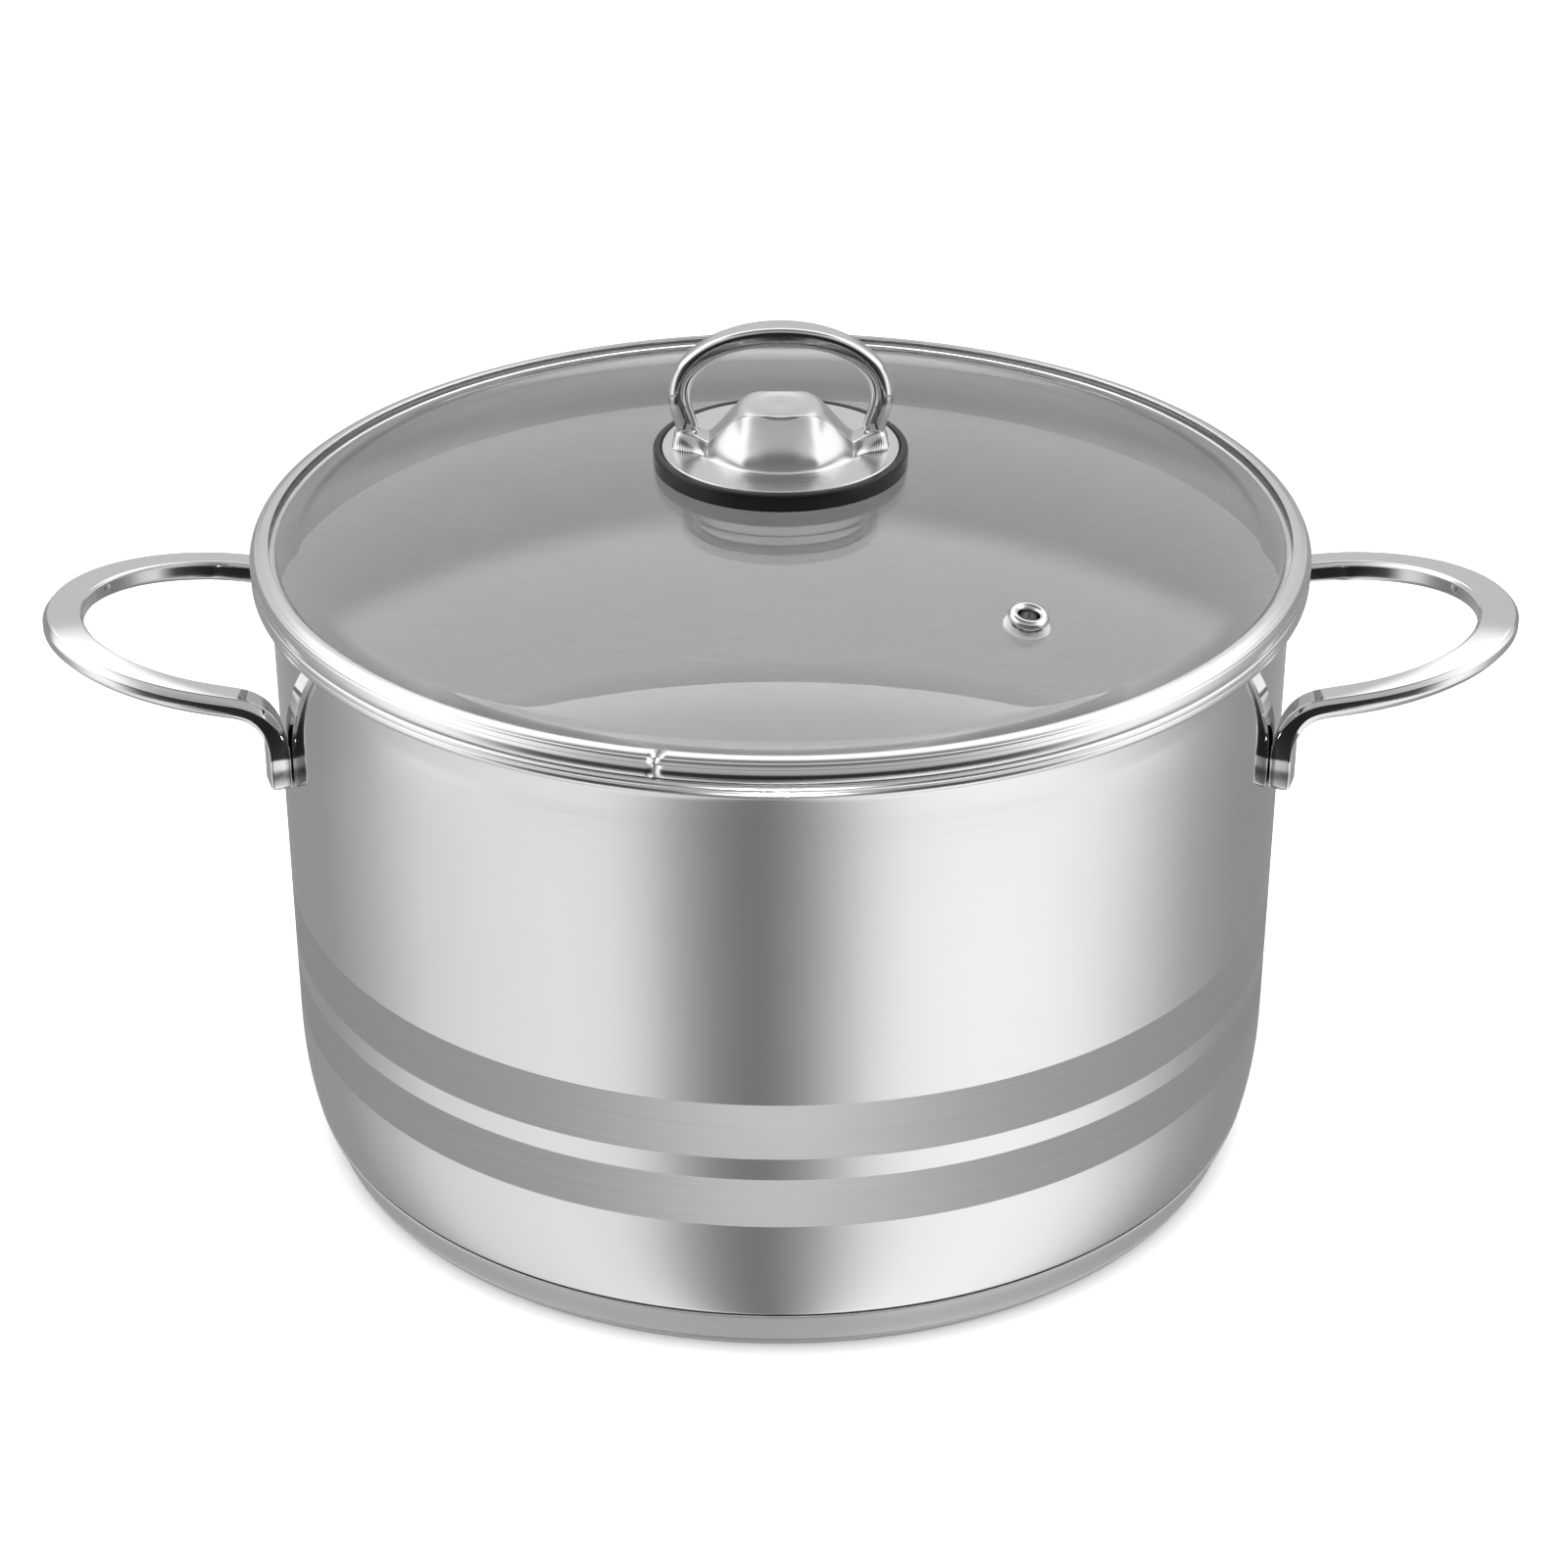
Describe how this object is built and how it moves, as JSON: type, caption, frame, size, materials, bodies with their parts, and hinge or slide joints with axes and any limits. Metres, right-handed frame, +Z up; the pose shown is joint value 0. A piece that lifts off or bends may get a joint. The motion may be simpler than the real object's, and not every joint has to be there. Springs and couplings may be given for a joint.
{
  "type": "stock pot",
  "caption": "Two-handled stainless steel stock pot with an encapsulated base and a domed glass lid with steel band, steam vent and bail knob.",
  "frame": {"origin": "centre of the pot's underside, where it stands", "axes": "+Z up along the pot's axis, X through the two side handles, -Y towards the steam vent's side"},
  "size_m": [0.3514, 0.2486, 0.2038],
  "materials": {
    "steel_body": "mirror polished with two satin bands",
    "steel_polished": "polished",
    "steel_satin": "satin",
    "aluminium_core": "plain",
    "glass": "clear tempered",
    "black_plastic": "moulded, slightly glossy",
    "silicone": "translucent white silicone"
  },
  "bodies": {
    "pot": {"pot_shell": "steel_body", "base_core": "aluminium_core", "base_cap": "steel_satin", "right_handle": "steel_polished", "left_handle": "steel_polished"},
    "lid": {"lid_glass": "glass", "lid_band": "steel_polished", "vent_eyelet": "steel_polished", "vent_washer": "steel_satin", "knob_ring": "black_plastic", "knob_hub": "steel_polished", "knob_bail": "steel_polished", "knob_boss": "steel_satin", "knob_bush": "silicone", "knob_gasket": "silicone", "knob_washer": "steel_satin", "knob_screw": "steel_satin"}
  },
  "joints": [
    {"name": "lid_lift", "type": "slide", "parent": "pot", "child": "lid", "axis": [0, 0, 1], "range_m": [0, 0.12]}
  ]
}
